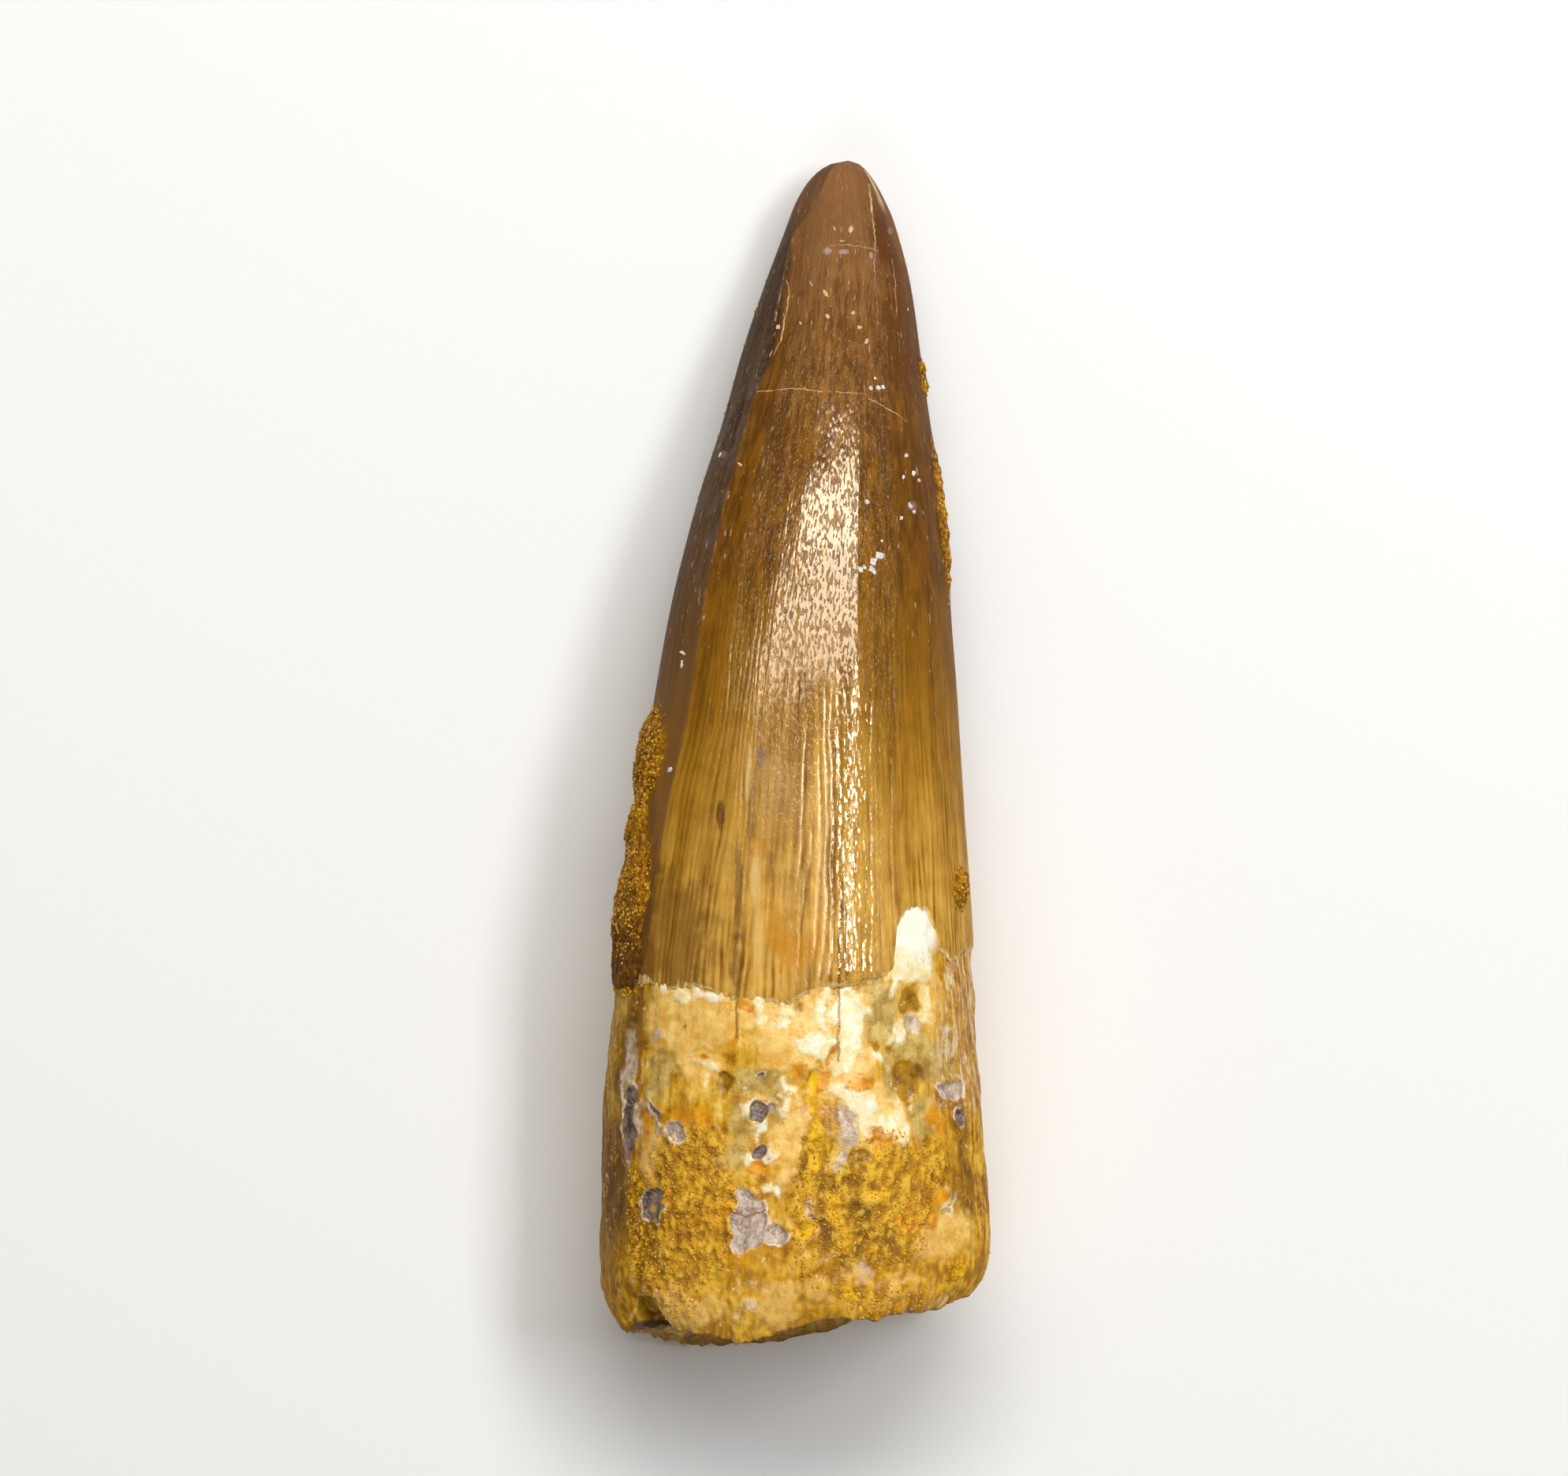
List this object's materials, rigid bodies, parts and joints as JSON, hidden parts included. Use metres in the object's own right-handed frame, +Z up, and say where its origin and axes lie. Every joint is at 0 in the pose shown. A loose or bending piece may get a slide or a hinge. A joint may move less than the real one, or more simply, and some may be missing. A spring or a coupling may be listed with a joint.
{
  "type": "fossil spinosaurus tooth",
  "caption": "Fossil spinosaurus tooth lying on its side: a long, gently curved crown with a ragged enamel edge over a sand-crusted, broken root.",
  "frame": {"origin": "on the surface that the tooth rests on, under the middle of its box", "axes": "+Z up, +Y towards the tip, +X to the right when the tooth is seen from above with its tip away from the reader"},
  "size_m": [0.0206, 0.064, 0.017],
  "materials": {
    "fossil_tooth": "semi-gloss amber enamel with fine lengthwise ridges, over cream, ochre and grey fossil dentine with sandy crust"
  },
  "bodies": {
    "root": {"tooth": "fossil_tooth"}
  },
  "joints": []
}
